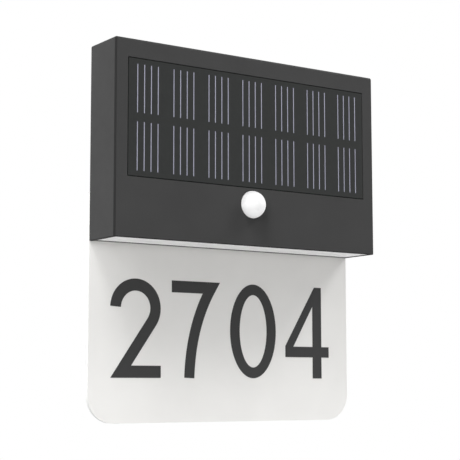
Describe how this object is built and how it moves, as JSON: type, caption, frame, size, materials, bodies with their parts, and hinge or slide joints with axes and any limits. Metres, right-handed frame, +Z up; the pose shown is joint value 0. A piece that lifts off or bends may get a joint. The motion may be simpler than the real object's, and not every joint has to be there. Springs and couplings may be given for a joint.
{
  "type": "illuminated house number sign",
  "caption": "Solar wall light box with motion sensor, opal underside diffuser and a frosted hanging plate for a house number.",
  "frame": {"origin": "on the wall plane, midway between the entry holes of the two keyholes", "axes": "+X to the right seen from the front, +Y towards the wall, +Z up; the front faces -Y"},
  "size_m": [0.23, 0.0475, 0.2662],
  "materials": {
    "dark_plastic": "fine satin moulding grain",
    "silicone": "soft matt grey silicone",
    "steel": "bright zinc plate",
    "frosted_acrylic": "frosted translucent sheet",
    "solar_glaze": "glossy clear layer over dark cells",
    "silicon": "dark blue black silicon",
    "circuit_board": "green solder mask",
    "foam_tape": "white foam tape",
    "lens_white": "milky satin dome",
    "sensor_can": "pressed nickel can",
    "chip_black": "moulded epoxy",
    "coil_grey": "ferrite",
    "capacitor_sleeve": "shrunk sleeve",
    "connector_white": "natural nylon",
    "led_board_white": "white solder mask",
    "led_phosphor": "yellow phosphor",
    "opal_plastic": "opal, evenly diffusing",
    "battery_sleeve": "shrunk sleeve",
    "holder_black": "moulded black",
    "contact_metal": "nickel plate",
    "button_rubber": "matt black rubber",
    "cable_black": "matt jacket"
  },
  "bodies": {
    "light": {"front_housing": "dark_plastic", "back_cover": "dark_plastic", "housing_seal": "silicone", "cover_screws": "steel", "number_plate": "frosted_acrylic", "plate_screws": "steel", "solar_laminate": "solar_glaze", "solar_cells": "silicon", "solar_backing_board": "circuit_board", "panel_tape": "foam_tape", "sensor_lens": "lens_white", "lens_seal": "silicone", "lens_retainer": "dark_plastic", "retainer_screws": "steel", "motion_sensor": "sensor_can", "main_board": "circuit_board", "board_chips": "chip_black", "board_coil": "coil_grey", "board_capacitor": "capacitor_sleeve", "lead_sockets": "connector_white", "lead_plugs": "connector_white", "main_board_screws": "steel", "led_board": "led_board_white", "leds": "led_phosphor", "led_board_screws": "steel", "diffuser": "opal_plastic", "lead_grommet": "silicone", "battery_cell": "battery_sleeve", "battery_holder": "holder_black", "battery_contacts": "contact_metal", "holder_screws": "steel", "switch_board": "circuit_board", "switch_body": "holder_black", "switch_board_screws": "steel", "solar_lead": "cable_black", "battery_lead": "cable_black", "led_lead": "cable_black", "switch_lead": "cable_black"},
    "button": {"switch_button": "button_rubber", "switch_plunger": "connector_white"}
  },
  "joints": [
    {"name": "switch_press", "type": "slide", "parent": "light", "child": "button", "axis": [0, -1, 0], "range_m": [0, 0.0015], "stiffness_N_per_m": 900, "springref_m": -0.0015}
  ]
}
